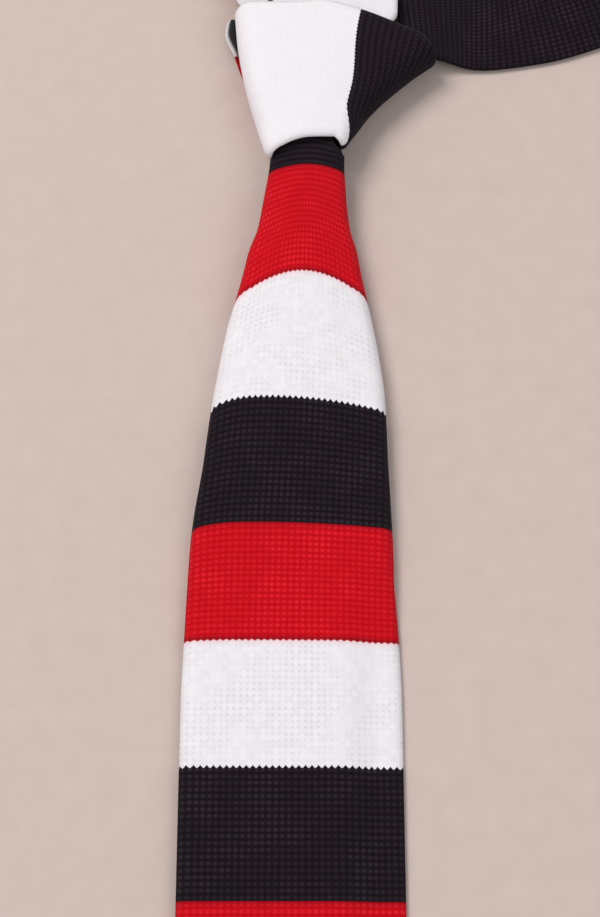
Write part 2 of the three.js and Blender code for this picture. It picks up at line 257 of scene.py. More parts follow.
# Where the outer turn's white stripe ends at the lower and upper edge, how much longer its courses
# are at its upper edge, and the degree of the smooth line through the stripe's ends
WHITE_ENDS = (12.7, 18.2)
UPPER_STRETCH = 1.3
LINE_DEGREE = 3

# The first crossing: its start, its place on the diagonal fold and its finish on the left fold, each
# at its lower and upper edge
CROSSING_X = (-0.16, 0.11)
CROSSING_Y = (0.46, 0.95)
CROSSING_RIGHT = (0.46, 0.72)
CROSSING_LEFT = (0.3, 0.93)
CROSSING_ROWS = 24

# Sides of the blade's strip inside the knot, under the front wrap
UNDER_FRONT = table(
    "y left right",
    (1.05, -0.215, 0.809),
    (0.95, -0.335, 0.803),
    (0.83, -0.322, 0.71),
    (0.62, -0.27, 0.57),
    (0.31, -0.2, 0.345),
    (0.12, -0.17, 0.28),
    (0.02, -0.165, 0.272),
    (-0.036, -0.2, 0.335),
)

# Sections of the open blade: its sides, how many layers its curled edges are clear of the floor, how
# much it arches, and the radius and the angle of those edges
BLADE_ROWS = table(
    "down left right clear arch radius turn",
    (0.0145, -0.155, 0.232, 3.667, 0.01, 0.05, 60),
    (0.04, -0.16, 0.226, 3.3, 0.013, 0.051, 74),
    (0.099, -0.183, 0.23, 2.517, 0.02, 0.053, 105),
    (0.157, -0.212, 0.248, 1.762, 0.026, 0.057, 125),
    (0.196, -0.252, 0.278, 1.231, 0.03, 0.06, 138),
    (0.235, -0.276, 0.296, 0.914, 0.032, 0.062, 142),
    (0.284, -0.309, 0.323, 0.694, 0.032, 0.062, 145),
    (0.346, -0.353, 0.356, 0.619, 0.03, 0.06, 145),
    (0.401, -0.381, 0.381, 0.589, 0.027, 0.058, 145),
    (0.475, -0.413, 0.403, 0.642, 0.022, 0.055, 140),
    (0.605, -0.459, 0.416, 0.583, 0.014, 0.051, 130),
    (0.698, -0.495, 0.425, 0.600, 0.008, 0.049, 118),
    (0.802, -0.521, 0.438, 0.615, 0.003, 0.048, 100),
    (0.901, -0.538, 0.448, 0.615, 0, 0.048, 88),
    (1, -0.547, 0.453, 0.626, 0, 0.047, 80),
)
# Further down the blade lies flat, falls steeply to the left of the tail and gently to its right,
# and comes down past the tail's end
LIE_FROM = 0.7
LEFT_TURN = math.radians(75)
TAIL_RIGHT_SLOPE = 11
TAIL_END_CLEAR = END_RAMP / 8

# Sections of the tail: how it lies to the side, by the knot's width and by the room in the blade
TAIL_ROWS = table(
    "down knot side width",
    (-0.17, 0.209, -0.19, 0.36),
    (-0.14, 0.14, -0.19, 0.34),
    (-0.09, 0.03, -0.19, 0.325),
    (0, -0.01, -0.19, 0.325),
    (0.1, 0, -0.38, 0.38),
    (0.235, 0, -0.545, 0.6),
    (0.345, 0, -0.537, 0.76),
    (0.475, 0, -0.629, 0.9),
    (0.698, 0, -0.88, 0.985),
    (0.9, 0, -0.88, 1),
)
TAIL_FALL = (-0.056, 0.099)  # where it comes down from its layer in the knot to the floor
BLADE_WALL = CLOTH * 1.5  # how far it keeps from the blade's sides

# Sections of the neck loop: the place of its outer edge, the way that it faces, how far it leans
# and how many layers it lies up
LOOP_ROWS = table(
    "at x y width face bank height",
    (0, 0.083, 0.135, 0.36, 226, 0, 2),
    (1, 0.131, 0.17, 0.4, 238, 0, 2),
    (2, 0.185, 0.199, 0.62, 275, 0, 2),
    (3, 0.241, 0.194, 0.76, 272, 0, 1.35),
    (4, 0.314, 0.186, 0.92, 268, 2, 0.1),
    (5, 0.42, 0.2, 1, 280, 10, 0),
    (6, 0.527, 0.233, 1, 292, 24, 0),
    (7, 0.657, 0.303, 1, 306, 42, 0),
    (8, 0.771, 0.429, 1, 328, 54, 0),
    (9, 0.829, 0.6, 1, 354, 60, 0),
    (10, 0.789, 0.789, 1, 384, 62, 0),
    (11, 0.66, 0.943, 1, 410, 62, 0),
    (12, 0.469, 1.023, 1, 440, 62, 0),
    (13, 0.257, 1.006, 1, 466, 62, 0),
    (14, 0.074, 0.909, 1, 488, 60, 0),
    (15, -0.069, 0.76, 1, 508, 54, 0),
    (16, -0.146, 0.58, 0.95, 530, 36, 0),
    (17, -0.149, 0.44, 0.74, 543, 14, 0.3),
    (18, -0.131, 0.36, 0.46, 546, 0, 1.8),
    (19, -0.113, 0.303, 0.22, 548, 0, 3),
    (20, -0.082, 0.255, 0.23, 555, 0, 3),
    (21, -0.056, 0.2, 0.45, 580, 0, 3),
)
LOOP_SAMPLES = 2000
STRIPED_END = 1.6  # how many stripes lie on the loop's last stretch, past its plain one

# Where the courses lie down the blade: the height of the middle of a course, and how far its ends
# hang below its middle
BLADE_COURSES = table(
    "course y bow",
    (-10, 11.5, 1),
    (0, -6.3, 2.2),
    (20, -40.2, 12),
    (40, -77.8, 6.3),
    (60, -113.9, 2.7),
    (80, -146.5, 0.6),
    (100, -180.3, 0),
    (120, -214.5, 0),
    (240, -BLADE_DROP, 0),
)
FIRST_BLADE_COURSE = -8

# Below the first red stripe the courses bow around a line left of the middle, more sharply at the
# left and less at the right
LEAN_COURSES = (22, 38)
LEAN = 0.4
LEFT_SHARPER = 0.6
RIGHT_LESS = 0.2


def under_strip(y, v):
    """The blade's strip inside the knot, under the front wrap."""
    left = column(UNDER_FRONT, "y", "left", y / KNOT_LENGTH)
    right = column(UNDER_FRONT, "y", "right", y / KNOT_LENGTH)
    return points(mix(left, right, v) * KNOT_WIDTH, y, OVER)


def tail_centre(y):
    """The tail's middle line, which keeps within the blade above it."""
    down = -y / FLARE_LENGTH
    left, right = (column(BLADE_ROWS, "down", name, down) for name in ("left", "right"))
    knot, side, width = (column(TAIL_ROWS, "down", name, down) for name in ("knot", "side", "width"))
    room = ((right - left) * BLADE_WIDTH - width * TAIL_WIDTH) / 2 - BLADE_WALL
    return (left + right) / 2 * BLADE_WIDTH + knot * KNOT_WIDTH + side * room


def lying_section(y, v, left, right):
    """Where the blade lies flat: over the tail, steeply down at its left and gently at its right."""
    lift = PITCH * smooth(TAIL_DROP + END_RAMP, TAIL_DROP + TAIL_END_CLEAR, -y)
    radius = PITCH / (1 - math.cos(LEFT_TURN))
    turn_start = left + (HALF + radius) * math.sin(LEFT_TURN)
    arc = radius * LEFT_TURN
    s = v * (right - turn_start + arc)
    turned = np.clip(LEFT_TURN - s / radius, 0, LEFT_TURN)
    falling = 1 - (1 - np.cos(turned)) / (1 - math.cos(LEFT_TURN))
    x = np.where(s < arc, turn_start - radius * np.sin(turned), turn_start + s - arc)
    edge = tail_centre(y) + TAIL_WIDTH / 2 + HALF
    beside = 1 - smooth(edge, edge + TAIL_RIGHT_SLOPE, x)
    return points(x, y, HALF + lift * np.where(s < arc, falling, beside))


def blade_section(y, v):
    """The open blade: a crown with curled edges near the knot, lying flat further down."""
    down = -y / FLARE_LENGTH
    left, right, arch, radius = (
        column(BLADE_ROWS, "down", name, down) * BLADE_WIDTH
        for name in ("left", "right", "arch", "radius")
    )
    angle = np.radians(column(BLADE_ROWS, "down", "turn", down))
    clear = column(BLADE_ROWS, "down", "clear", down) * PITCH
    crown = clear + arch + radius * (1 - np.cos(angle))
    side = np.sin(np.minimum(angle, math.pi / 2))
    flat = (right - left) / 2 - (radius + HALF) * side
    s = mix(-1, 1, v) * (flat + radius * angle)
    beyond = np.maximum(np.abs(s) - flat, 0) / radius
    inside = np.minimum(np.abs(s), flat)
    x = (left + right) / 2 + np.sign(s) * (inside + radius * np.sin(beyond))
    z = crown - arch * (inside / flat) ** 2 - radius * (1 - np.cos(beyond))
    share = smooth(LIE_FROM, 1, down)[..., None]
    return mix(points(x, y, z), lying_section(y, v, left, right), share)


def blade_surface(y, v):
    """The blade from its strip inside the knot to its square end."""
    first = BLADE_ROWS["down"][0] * FLARE_LENGTH
    last = UNDER_FRONT["y"][-1] * KNOT_LENGTH
    below = blade_section(np.minimum(y, -first), v)
    below[..., 1] = y
    return mix(under_strip(y, v), below, smooth(last, -first, y)[..., None])


def unit(a):
    """Vectors of the same directions, one long."""
    return a / np.maximum(np.linalg.norm(a, axis=-1, keepdims=True), TINY)


def stitches(wale, course):
    """Height of the stitches, from 0 in the grooves between them to 1 on each one's back."""
    across = np.abs(np.sin(math.pi * wale)) ** BACK_ROUNDNESS
    along = np.abs(np.sin(math.pi * course)) ** BACK_ROUNDNESS
    wave = np.sin(UNEVEN_WALES * np.floor(wale) + UNEVEN_COURSES * np.floor(course))
    return across * along * (1 - UNEVENNESS + UNEVENNESS * wave)


def rounded(distance, rounding):
    """How thick the cloth is at a distance from its edge, as a share of its full thickness."""
    return np.sqrt(1 - rounding * np.clip(1 - distance / HALF, 0, 1) ** 2)


def knitted(name, middle, wale, course, wales, step=1, shade=1.0, deep=1.0):
    """A flattened knitted tube around the surface through its middle.

    middle holds rows of points; wale and course say which stitch each point is on. The side that
    faces up has every point's relief, times deep. The side that faces down uses each step-th column
    and row, and has relief only where it uses them all. shade is painted shade that darkens the cloth
    in a hollow.
    """
    along = np.gradient(middle, axis=0)
    across = np.gradient(middle, axis=1)
    normal = unit(np.cross(across, along))
    wale, course, shade = (np.broadcast_to(a, middle.shape[:2]) for a in (wale, course, shade))
    spans = np.linalg.norm(np.diff(middle, axis=1), axis=-1)
    walked = np.concatenate([np.zeros((len(middle), 1)), np.cumsum(spans, axis=1)], axis=1)
    from_side = np.minimum(walked, walked[:, -1:] - walked)
    lengths = np.concatenate([[0], np.cumsum(np.linalg.norm(np.diff(middle, axis=0), axis=-1).mean(1))])
    from_end = np.minimum(lengths, lengths[-1] - lengths)[:, None]
    rounding = rounded(from_side, SIDE_ROUNDING) * rounded(from_end, END_ROUNDING)
    body = (HALF - STITCH_RELIEF * RELIEF_INSIDE) * rounding
    relief = STITCH_RELIEF * deep * stitches(wale, course) * smooth(0, HALF, from_side)
    top = middle + normal * (body + relief)[..., None]
    rows = np.unique(np.append(np.arange(0, len(middle), step), len(middle) - 1))
    cols = np.unique(np.append(np.arange(0, middle.shape[1], step), middle.shape[1] - 1))
    kept = np.ix_(rows, cols)
    low = (middle - normal * (body + relief * (step == 1))[..., None])[kept]
    low_uv = 2 * wales - wale[kept], course[kept]
    piece = make_tube(name, top, low, (wale, course), low_uv, rows, cols)
    # Each point keeps the painted shade of the hollow
    layer = piece.data.attributes.new("hollow_painted_shade", "FLOAT", "POINT")
    values = np.concatenate([shade.ravel(), shade[kept].ravel()])
    layer.data.foreach_set("value", values.astype(np.float32))
    return piece


def make_tube(name, top, low, top_uv, low_uv, rows, cols):
    """Joins the two sides of a tube into one closed mesh with a UV map that counts stitches."""
    nr, nc = top.shape[:2]
    mr, mc = low.shape[:2]
    count = nr * nc
    upper = np.arange(count).reshape(nr, nc)
    lower = count + np.arange(mr * mc).reshape(mr, mc)
    verts = np.concatenate([top.reshape(-1, 3), low.reshape(-1, 3)])
    uv = np.concatenate(
        [np.stack([np.ravel(a) for a in pair], -1) for pair in (top_uv, low_uv)]
    )
    quads = [
        np.stack([upper[:-1, :-1], upper[:-1, 1:], upper[1:, 1:], upper[1:, :-1]], -1).reshape(-1, 4),
        np.stack([lower[:-1, :-1], lower[1:, :-1], lower[1:, 1:], lower[:-1, 1:]], -1).reshape(-1, 4),
    ]
    faces = np.concatenate(quads).tolist()
    sides = [
        (upper[:, 0], lower[:, 0], rows, False),
        (upper[:, -1], lower[:, -1], rows, True),
        (upper[0], lower[0], cols, True),
        (upper[-1], lower[-1], cols, False),
    ]
    # Each stretch of a side joins its points on the fine side to the two at its ends on the coarse one
    for fine, coarse, stops, turned in sides:
        for k in range(len(stops) - 1):
            a, b = stops[k], stops[k + 1]
            middle = (a + b) // 2
            fan = [(fine[i], fine[i + 1], coarse[k if i < middle else k + 1]) for i in range(a, b)]
            fan.append((fine[middle], coarse[k + 1], coarse[k]))
            faces.extend([int(i) for i in (face[::-1] if turned else face)] for face in fan)
    verts[:, 1] -= ORIGIN_UP
    mesh = bpy.data.meshes.new(name)
    mesh.from_pydata((verts / MILLIMETRES).tolist(), [], faces)
    layer = mesh.uv_layers.new(name="stitches")
    index = np.zeros(len(mesh.loops), int)
    mesh.loops.foreach_get("vertex_index", index)
    layer.data.foreach_set("uv", uv[index].astype(np.float32).ravel())
    mesh.polygons.foreach_set("use_smooth", np.ones(len(mesh.polygons), bool))
    mesh.update()
    piece = bpy.data.objects.new(name, mesh)
    bpy.context.scene.collection.objects.link(piece)
    return piece


def spread(count, per):
    """Shares from 0 to 1 with per points to each of count stitches."""
    return np.linspace(0, 1, count * per + 1)


def walked_along(middle):
    """How far along the cloth each point is, column by column."""
    steps = np.linalg.norm(np.diff(middle, axis=0), axis=-1)
    return np.concatenate([np.zeros((1, middle.shape[1])), np.cumsum(steps, axis=0)])


def blade():
    """The blade from just inside the knot to its square end, its rows bowed as the courses are."""
    v = spread(BLADE_WALES, BLADE_DETAIL)[None, :]
    row = 1 / BLADE_DETAIL
    courses = np.arange(FIRST_BLADE_COURSE, BLADE_COURSES["course"][-1] + row / 2, row)[:, None]
    y = column(BLADE_COURSES, "course", "y", courses)
    bow = column(BLADE_COURSES, "course", "bow", courses)
    lean = smooth(*LEAN_COURSES, courses)
    s = 2 * v - 1 + LEAN * lean
    left_bow = np.clip(-s / (1 - LEAN * lean), 0, 1) ** (2 + LEFT_SHARPER * lean)
    right_bow = np.clip(s / (1 + LEAN * lean), 0, 1) ** 2 * (1 - RIGHT_LESS * lean)
    middle = blade_surface(y - bow * (left_bow + right_bow), v)
    return knitted("blade", middle, v * BLADE_WALES, courses, BLADE_WALES, step=BLADE_DETAIL)


def strip_behind(v, t):
    """The strip behind the knot, from the diagonal fold up to the fold over the knot's top."""
    start = right_axis(v) + UP_BEHIND * (BACK_TUCK + 2 * LAYER_GAP)
    chord = mix(start[:, :1], start[:, -1:], v[..., None])
    left = points(
        column(BACK_LEFT_EDGE, "along", "x", t) * KNOT_WIDTH,
        column(BACK_LEFT_EDGE, "along", "y", t) * KNOT_LENGTH,
        0,
    )
    corner = points(TOP_FOLD_RIGHT * KNOT_WIDTH, TOP_FOLD_LINE * KNOT_LENGTH, 0)
    right = mix(start[:, -1:], corner, t[..., None])
    back = mix(chord, mix(left, right, v[..., None]), smooth(0, FREE_FROM, t)[..., None])
    back = back + (start - chord) * (1 - smooth(0, STRAIGHT_FROM, t))[..., None]
    lip = LIP_HEIGHT * column(BACK_LEFT_EDGE, "along", "lip", t)
    back[..., 2] = BACK + lip * smooth(LIP_SHARE, 0, v)
    return back


def top_fold():
    """The strip behind the knot, its fold over the knot's top and its way down under the wrap."""
    v = spread(BLADE_WALES, FOLD_DETAIL)[None, :]
    t = np.linspace(0, 1, BACK_ROWS)[:, None]
    back = strip_behind(v, t)
    radius = (OVER - BACK) / 2
    fold_at = TOP_FOLD_LINE * KNOT_LENGTH
    angle = math.pi * np.linspace(0, 1, OVER_ROWS)[1:-1, None]
    over = under_strip(np.full((1, 1), fold_at), v)
    arc = over + points(0, radius * np.sin(angle), BACK - OVER + radius * (1 - np.cos(angle)))
    down = under_strip(np.linspace(fold_at, TUCKED_AT, DOWN_ROWS)[:, None], v)
    middle = np.concatenate([back, arc, down])
    # Behind the knot the stripes cross the strip square to the way it runs
    rise = back[..., :2] @ UP_BEHIND[:2]
    behind = COURSE_BEHIND + (rise - RISE_BEHIND) / COURSE
    onward = np.linspace(0, 1, len(arc) + len(down) + 1)[1:, None]
    course = np.concatenate([behind, mix(behind[-1:], LAST_FOLD_COURSE, onward)])
    # Painted shade darkens the strip in the hollow beside its lip
    shade_mask = smooth(*PAINTED_SHADE_ACROSS, v) * smooth(*PAINTED_SHADE_OPENS, t) * smooth(*PAINTED_SHADE_CLOSES, t)
    shade = np.ones(middle.shape[:2])
    shade[: len(t)] = 1 - PAINTED_SHADE_DARKNESS * shade_mask
    wale = v * BLADE_WALES
    return knitted("top_fold", middle, wale, course, BLADE_WALES, step=FOLD_DETAIL, shade=shade)


def front_points(across, v):
    """The knot's front, from its left fold to its diagonal fold."""
    start = left_fold(v) + points(HALF + left_radius(v), 0, FRONT)
    end = right_axis(v) + LIFT * FRONT
    p = mix(start, end, across[..., None])
    lower = column(FRONT_EDGES, "across", "lower", across)
    upper = column(FRONT_EDGES, "across", "upper", across)
    p[..., 1] += mix(lower, upper, v) * KNOT_LENGTH
    p[..., 2] += FRONT_CROWN * np.sin(math.pi * across)
    return p


def wrap_courses(middle, v, left_rows):
    """Courses of the outer turn, whose white stripe ends along a nearly upright line on the front."""
    length = walked_along(middle)
    past = middle[..., 0] - mix(*WHITE_ENDS, middle[..., 1] / KNOT_LENGTH)
    past[:left_rows] = -np.inf
    reached = np.where(past.max(0) > 0, np.argmax(past > 0, axis=0), np.argmax(past, axis=0))
    ends = length[reached, np.arange(middle.shape[1])]
    ends = np.polyval(np.polyfit(v[0], ends, LINE_DEGREE), v[0])
    return 2 * STRIPE + (length - ends) / (COURSE * mix(1.0, UPPER_STRETCH, v))


def knot_wrap():
    """The outer turn: round the left fold, across the front, round the diagonal fold to behind."""
    v = spread(BLADE_WALES, WRAP_DETAIL)[None, :]
    turn = math.pi * np.linspace(0, 1, LEFT_ROWS)[:-1, None]
    radius = left_radius(v)
    axis = left_fold(v) + points(HALF + radius, 0, FRONT - radius)
    tip = CORNER_DROP * np.sin(turn) * (1 - smooth(0, CORNER_SHARE, v))
    left = axis + points(-radius * np.sin(turn), -tip, -radius * np.cos(turn))
    front = front_points(np.linspace(0, 1, FRONT_ROWS)[:, None], v)
    swing = math.pi * np.linspace(0, 1, RIGHT_ROWS)[1:, None, None]
    bend = right_radius(v)[..., None]
    right = (
        right_axis(v)
        + LIFT * (FRONT - bend * (1 - np.cos(swing)))
        + FOLD_OUT * bend * np.sin(swing)
    )
    run = np.linspace(0, 1, BEHIND_ROWS)[1:, None, None]
    sunk = mix(FRONT - 2 * bend, BACK, smooth(0, SUNK_AT, run))
    behind = right_axis(v) + UP_BEHIND * BACK_TUCK * run + LIFT * sunk
    middle = np.concatenate([left, front, right, behind])
    wale, course = v * BLADE_WALES, wrap_courses(middle, v, len(left))
    return knitted("knot_front", middle, wale, course, BLADE_WALES, step=WRAP_DETAIL, deep=WRAP_DEPTH)


def under_wrap():
    """The first crossing inside the knot: to the right, round its fold and back behind."""
    v = spread(BLADE_WALES, CROSSING_DETAIL)[None, :]
    radius = (FIRST - BEHIND) / 2
    axis = right_fold(mix(*CROSSING_RIGHT, v)) - (RIGHT_RADIUS + HALF + LAYER_GAP) * FOLD_OUT
    start = points(mix(*CROSSING_X, v) * KNOT_WIDTH, mix(*CROSSING_Y, v) * KNOT_LENGTH, 0)
    w = mix(*CROSSING_LEFT, v)
    finish = left_fold(w) + points(HALF + left_radius(w) + 2 * LAYER_GAP, 0, 0)
    t = np.linspace(0, 1, CROSSING_ROWS)[:, None, None]
    first = mix(start, axis, t[:-1]) + LIFT * FIRST
    turn = math.pi * t
    fold = axis + FOLD_OUT * radius * np.sin(turn) + LIFT * (BEHIND + radius * (1 + np.cos(turn)))
    second = mix(axis, finish, t[1:]) + LIFT * BEHIND
    middle = np.concatenate([first, fold, second])
    course = walked_along(middle) / COURSE
    return knitted("first_crossing", middle, v * BLADE_WALES, course, BLADE_WALES)


def tail():
    """The narrow end, from inside the knot down under the blade."""
    v = spread(TAIL_WALES, TAIL_DETAIL)[None, :]
    top = TAIL_ROWS["down"][0] * FLARE_LENGTH
    courses = round((TAIL_DROP - top) / COURSE)
    drop = top + (TAIL_DROP - top) * spread(courses, TAIL_DETAIL)[:, None]
    width = column(TAIL_ROWS, "down", "width", drop / FLARE_LENGTH) * TAIL_WIDTH
    height = mix(NARROW, HALF, smooth(*TAIL_FALL, drop / FLARE_LENGTH))
    middle = points(tail_centre(-drop) + (v - 0.5) * width, -drop, height)
    course = 2 * STRIPE - (drop - top) / COURSE
    return knitted("tail_cloth", middle, v * TAIL_WALES, course, TAIL_WALES)


def neck_loop():
    """The whole loop from inside the knot round the neck and back, plain but for its last stretch."""
    v = spread(NECK_WALES, NECK_DETAIL)[None, :]
    fine = np.linspace(0, LOOP_ROWS["at"][-1], LOOP_SAMPLES)
    edge = points(*(column(LOOP_ROWS, "at", axis, fine) * LOOP_SPAN for axis in "xy"), 0)
    far = np.concatenate([[0], np.cumsum(np.linalg.norm(np.diff(edge, axis=0), axis=-1))])
    at = np.interp(far[-1] * spread(round(far[-1] / COURSE), NECK_DETAIL), far, fine)[:, None]
    face, bank = (np.radians(column(LOOP_ROWS, "at", name, at)) for name in ("face", "bank"))
    inward = points(-np.cos(face) * np.cos(bank), -np.sin(face) * np.cos(bank), np.sin(bank))
    width = column(LOOP_ROWS, "at", "width", at) * NECK_WIDTH
    x, y = (column(LOOP_ROWS, "at", axis, at) * LOOP_SPAN for axis in "xy")
    z = HALF * np.cos(bank) + column(LOOP_ROWS, "at", "height", at) * PITCH
    middle = points(x, y, z) + inward * (v * width)[..., None]
    length = walked_along(middle).mean(1, keepdims=True)
    course = PLAIN_BELOW + (length - length[-1]) / COURSE + STRIPED_END * STRIPE
    return knitted("neck_band", middle, v * NECK_WALES, course, NECK_WALES)


class Graph:
    """Builds a material's nodes with one short call for each."""

    def __init__(self, name):
        self.material = bpy.data.materials.new(name)
        self.material.use_nodes = True
        self.tree = self.material.node_tree
        self.shader = self.tree.nodes["Principled BSDF"]

    def node(self, kind, inputs=(), **settings):
        """A node with its settings; inputs holds a socket to link or a value to set for each key."""
        made = self.tree.nodes.new(kind)
        for name, value in settings.items():
            setattr(made, name, value)
        for key, value in dict(inputs).items():
            if isinstance(value, bpy.types.NodeSocket):
                self.tree.links.new(value, made.inputs[key])
            else:
                made.inputs[key].default_value = value
        return made

    def math(self, operation, a, b=0.0, c=0.0):
        return self.node("ShaderNodeMath", {0: a, 1: b, 2: c}, operation=operation).outputs[0]

    def mix(self, share, a, b, blend="MIX"):
        made = self.node("ShaderNodeMix", {0: share, 6: a, 7: b}, data_type="RGBA", blend_type=blend)
        return made.outputs[2]

    def link(self, socket, name):
        self.tree.links.new(socket, self.shader.inputs[name])

    def values(self, **settings):
        """Sets the shader's plain values, with an underscore for each space in a name."""
        for name, value in settings.items():
            self.shader.inputs[name.replace("_", " ")].default_value = value

    def step(self, value, start, end):
        """A soft step from 0 at start to 1 at end, as smooth gives it."""
        made = self.node(
            "ShaderNodeMapRange",
            {"Value": value, "From Min": start, "From Max": end},
            interpolation_type="SMOOTHSTEP",
        )
        return made.outputs[0]


# Each yarn has a painted shade colour for its grooves and holes, and the colour of the stitches' backs
WHITE_SHADE_AND_BACK = (0.54, 0.515, 0.55, 1), (0.83, 0.80, 0.84, 1)
BLACK_SHADE_AND_BACK = (0.007, 0.004, 0.007, 1), (0.028, 0.02, 0.028, 1)
RED_SHADE_AND_BACK = (0.50, 0.001, 0.006, 1), (0.77, 0.013, 0.028, 1)
PINK = (0.86, 0.46, 0.50, 1)
DARK_RED = (0.16, 0.002, 0.006, 1)

# Where stripes meet, in courses: round lobes before black, pointed spikes before white, each with a
# height and a start, and how soft both changes are
TOOTH_ROUNDNESS = 0.7
LOBE = (0.55, -0.3)
SPIKE = (0.3, -0.15)
LOBE_SOFTNESS = 0.08
SPIKE_SOFTNESS = 0.12

# The last red course is drawn dark between its neighbours, the first one against the black before
# it, and the first white one takes some red
LAST_RED_MIDDLE = STRIPE - 0.4
LAST_RED_FADE = (0.5, 0.1)
FIRST_RED_FADE = (1.1, -0.2)
FIRST_WHITE_FADE = (STRIPE + 1.1, STRIPE)
DARK_LINE_SHARE = 0.6
PINK_SHARE = 0.4

# Coloured stitches stand out as dots against painted shade in their grooves, and white ones show
# small holes between their corners, painted with shade; both are clearer in some places than in others
PATCH_SCALE = 110.0
PATCH_EDGES = (0.4, 0.68)
DOT_SHARPNESS = 1.7
DOT_SHARES = (0.5, 0.45)
COURSE_SHARE = 0.15
HOLE_SHARES = (0.6, 0.1)
ODD_STITCH = 0.06

# Two legs of yarn slant to the middle of each stitch, with fine fibres over them
LEG_SLANT = 1.6
PLIES = 3
PLY_HEIGHT = 0.3
FIBRE_SCALE = 3200.0
BUMP_STRENGTH = 0.45
BUMP_HEIGHT = 0.00018

# Rough yarn, a little less so on the stitches' backs
YARN_ROUGHNESS = 0.95
BACK_SHINE = -0.12


def stripes(g, in_wale, course, teeth):
    """The place in the stripes' repeat, and where the cloth is white and where it is black."""
    peak = g.math("SUBTRACT", 1.0, g.math("ABSOLUTE", g.math("MULTIPLY_ADD", in_wale, 2.0, -1.0)))
    peak = g.math("POWER", peak, TOOTH_ROUNDNESS)
    phase = g.math("FLOORED_MODULO", course, 3.0 * STRIPE)
    lobe, spike = (
        g.math("MULTIPLY_ADD", peak, height * teeth, base * teeth) for height, base in (LOBE, SPIKE)
    )
    white_from, black_from = STRIPE, 2 * STRIPE
    spikes = g.math("ADD", phase, spike)
    is_white = g.step(spikes, white_from - SPIKE_SOFTNESS, white_from + SPIKE_SOFTNESS)
    lobes = g.math("SUBTRACT", phase, lobe)
    is_black = g.step(lobes, black_from - LOBE_SOFTNESS, black_from + LOBE_SOFTNESS)
    plain = g.math("LESS_THAN", course, float(PLAIN_BELOW))
    return phase, is_white, g.math("MAXIMUM", is_black, plain)


def red_yarn(g, phase, backs_out_of_shade):
    """Red with painted shade in its grooves, and its first and last course drawn dark."""
    last = g.math("ABSOLUTE", g.math("SUBTRACT", phase, LAST_RED_MIDDLE))
    dark = g.math("MAXIMUM", g.step(last, *LAST_RED_FADE), g.step(phase, *FIRST_RED_FADE))
    return g.mix(g.math("MULTIPLY", dark, DARK_LINE_SHARE), g.mix(backs_out_of_shade, *RED_SHADE_AND_BACK), DARK_RED)


def white_yarn(g, phase, hole_shade):
    """White with painted shade in small holes, and its first course a little pink."""
    tinted = g.step(phase, *FIRST_WHITE_FADE)
    return g.mix(g.math("MULTIPLY", tinted, PINK_SHARE), g.mix(hole_shade, *reversed(WHITE_SHADE_AND_BACK)), PINK)


def groove_and_hole_shade(g, over_wale, over_course, spot, clarity):
    """How strongly the painted shade in the grooves and in the holes shows at each point."""
    patches = g.node("ShaderNodeTexNoise", {"Vector": spot, "Scale": PATCH_SCALE, "Detail": 2.0})
    clear = g.step(patches.outputs[0], *PATCH_EDGES)
    clearer, least = DOT_SHARES
    backs_out_of_shade = g.math("POWER", g.math("MULTIPLY", over_wale, over_course), DOT_SHARPNESS)
    backs_out_of_shade = g.math("MULTIPLY", backs_out_of_shade, g.math("MULTIPLY_ADD", clear, clearer * clarity, least))
    backs_out_of_shade = g.math("MULTIPLY_ADD", over_course, COURSE_SHARE, backs_out_of_shade)
    clearer, least = HOLE_SHARES
    beside, between = (g.math("SUBTRACT", 1.0, over) for over in (over_wale, over_course))
    open_share = g.math("MULTIPLY_ADD", clear, clearer * clarity, least * clarity)
    hole_shade = g.math("MULTIPLY", g.math("MULTIPLY", beside, between), open_share)
    return backs_out_of_shade, hole_shade


def shading(g, wale, course, clarity):
    """Single stitches a little darker than others, and painted shade darkening hollows."""
    cell = g.node("ShaderNodeCombineXYZ", {0: g.math("FLOOR", wale), 1: g.math("FLOOR", course)})
    odd = g.node("ShaderNodeTexWhiteNoise", {"Vector": cell.outputs[0]}).outputs["Value"]
    # The painted shade of the hollow beside the lip
    hollow_painted_shade = g.node("ShaderNodeAttribute", attribute_name="hollow_painted_shade").outputs["Fac"]
    differing = ODD_STITCH * clarity
    shade = g.math("MULTIPLY", g.math("MULTIPLY_ADD", odd, differing, 1 - differing), hollow_painted_shade)
    return g.node("ShaderNodeCombineColor", {0: shade, 1: shade, 2: shade}).outputs[0]


def yarn_relief(g, in_wale, in_course, spot):
    """The fine relief of the yarn on each stitch."""
    from_middle = g.math("ABSOLUTE", g.math("SUBTRACT", in_wale, 0.5))
    slant = g.math("MULTIPLY_ADD", from_middle, LEG_SLANT, in_course)
    plies = g.math("SINE", g.math("MULTIPLY", slant, 2 * math.pi * PLIES))
    fibres = g.node("ShaderNodeTexNoise", {"Vector": spot, "Scale": FIBRE_SCALE, "Detail": 3.0})
    height = g.math("MULTIPLY_ADD", plies, PLY_HEIGHT, fibres.outputs[0])
    bump = {"Strength": BUMP_STRENGTH, "Distance": BUMP_HEIGHT, "Height": height}
    return g.node("ShaderNodeBump", bump).outputs[0]


